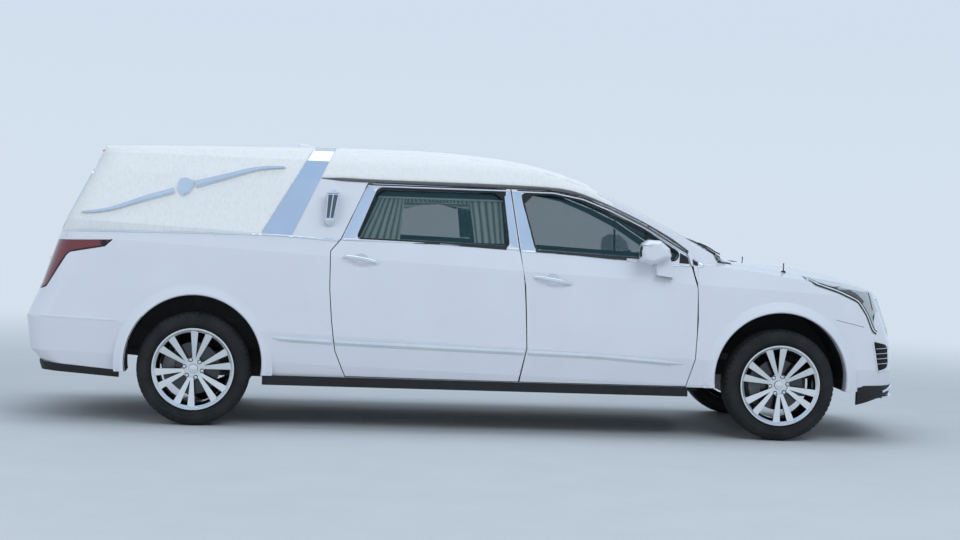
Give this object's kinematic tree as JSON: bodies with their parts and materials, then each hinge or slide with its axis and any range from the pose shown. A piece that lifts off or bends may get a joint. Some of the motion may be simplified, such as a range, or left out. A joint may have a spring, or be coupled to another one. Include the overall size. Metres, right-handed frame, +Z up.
{
  "type": "hearse",
  "caption": "Long funeral car with a padded rear roof, landau bars, a slanted roof band and a side-hinged load door.",
  "frame": {"origin": "on the ground, midway between nose and tail and between the sides", "axes": "+X towards the nose, +Y to the car's left side, +Z up"},
  "size_m": [6.028, 2.144, 1.8821],
  "materials": {
    "paint": "gloss white",
    "vinyl": "grained white vinyl",
    "chrome": "polished",
    "glass": "tinted",
    "tyre": "matt black",
    "rim": "machined and lacquered",
    "underbody": "black",
    "cast": "as cast",
    "dash": "grained black",
    "seat": "black leather",
    "curtain": "gathered grey-green cloth",
    "deck": "lacquered wood",
    "headlamp": "clear cover over a reflector",
    "tail_lamp": "dark red",
    "grille": "black"
  },
  "bodies": {
    "root": {"roof": "paint", "roof_band": "chrome", "vinyl_top": "vinyl", "windscreen": "glass", "body_side_left": "paint", "body_side_right": "paint", "fender_left": "paint", "fender_right": "paint", "front_bumper": "paint", "grille": "grille", "headlamps": "headlamp", "rear_bumper": "paint", "tail_lamps": "tail_lamp", "floor_pan": "underbody", "front_subframe": "cast", "rear_axle": "cast", "engine_block": "cast", "casket_deck": "deck", "dashboard": "dash", "front_seats": "seat", "coach_lamps": "chrome", "landau_bars": "chrome", "cowl": "underbody", "wheel_liners": "underbody", "door_posts": "paint"},
    "hood": {"hood": "paint"},
    "load_door": {"load_door": "paint", "load_door_glass": "glass"},
    "steering_wheel": {"steering_wheel": "dash"},
    "front_door_left": {"front_door_left": "paint", "front_door_glass_left": "glass"},
    "wheel_front_left": {"rim_front_left": "rim", "tyre_front_left": "tyre"},
    "rear_door_left": {"rear_door_left": "paint", "rear_door_glass_left": "glass", "curtains_left": "curtain"},
    "wheel_rear_left": {"rim_rear_left": "rim", "tyre_rear_left": "tyre"},
    "knuckle_left": {"knuckle_left": "cast"},
    "front_door_right": {"front_door_right": "paint", "front_door_glass_right": "glass"},
    "wheel_front_right": {"rim_front_right": "rim", "tyre_front_right": "tyre"},
    "rear_door_right": {"rear_door_right": "paint", "rear_door_glass_right": "glass", "curtains_right": "curtain"},
    "wheel_rear_right": {"rim_rear_right": "rim", "tyre_rear_right": "tyre"},
    "knuckle_right": {"knuckle_right": "cast"}
  },
  "joints": [
    {"name": "steer_left", "type": "hinge", "parent": "root", "child": "knuckle_left", "pos_m": [2.07, 0.77, 0.375], "axis": [0, 0, 1], "range_deg": [-34, 34]},
    {"name": "wheel_front_left_spin", "type": "hinge", "parent": "knuckle_left", "child": "wheel_front_left", "pos_m": [2.07, 0.82, 0.375], "axis": [0, 1, 0], "continuous": true},
    {"name": "wheel_rear_left_spin", "type": "hinge", "parent": "root", "child": "wheel_rear_left", "pos_m": [-1.86, 0.82, 0.375], "axis": [0, 1, 0], "continuous": true},
    {"name": "front_door_left_hinge", "type": "hinge", "parent": "root", "child": "front_door_left", "pos_m": [1.498, 0.955, 0.75], "axis": [0, 0, 1], "range_deg": [-66, 0]},
    {"name": "rear_door_left_hinge", "type": "hinge", "parent": "root", "child": "rear_door_left", "pos_m": [0.346, 0.955, 0.75], "axis": [0, 0, 1], "range_deg": [-66, 0]},
    {"name": "steer_right", "type": "hinge", "parent": "root", "child": "knuckle_right", "pos_m": [2.07, -0.77, 0.375], "axis": [0, 0, 1], "range_deg": [-34, 34]},
    {"name": "wheel_front_right_spin", "type": "hinge", "parent": "knuckle_right", "child": "wheel_front_right", "pos_m": [2.07, -0.82, 0.375], "axis": [0, 1, 0], "continuous": true},
    {"name": "wheel_rear_right_spin", "type": "hinge", "parent": "root", "child": "wheel_rear_right", "pos_m": [-1.86, -0.82, 0.375], "axis": [0, 1, 0], "continuous": true},
    {"name": "front_door_right_hinge", "type": "hinge", "parent": "root", "child": "front_door_right", "pos_m": [1.498, -0.955, 0.75], "axis": [0, 0, 1], "range_deg": [0, 66]},
    {"name": "rear_door_right_hinge", "type": "hinge", "parent": "root", "child": "rear_door_right", "pos_m": [0.346, -0.955, 0.75], "axis": [0, 0, 1], "range_deg": [0, 66]},
    {"name": "hood_hinge", "type": "hinge", "parent": "root", "child": "hood", "pos_m": [1.753, 0, 1.245], "axis": [0, 1, 0], "range_deg": [-50, 0]},
    {"name": "load_door_hinge", "type": "hinge", "parent": "root", "child": "load_door", "pos_m": [-2.98, 0.693, 1], "axis": [0, 0, 1], "range_deg": [-100, 0]},
    {"name": "steering_wheel_turn", "type": "hinge", "parent": "root", "child": "steering_wheel", "pos_m": [0.9, 0.385, 1.01], "axis": [-0.9063, 0, 0.4226], "range_deg": [-510, 510]}
  ],
  "couplings": [
    {"joint": "steer_right", "follows": "steer_left", "ratio": 1},
    {"joint": "steering_wheel_turn", "follows": "steer_left", "ratio": 15}
  ]
}
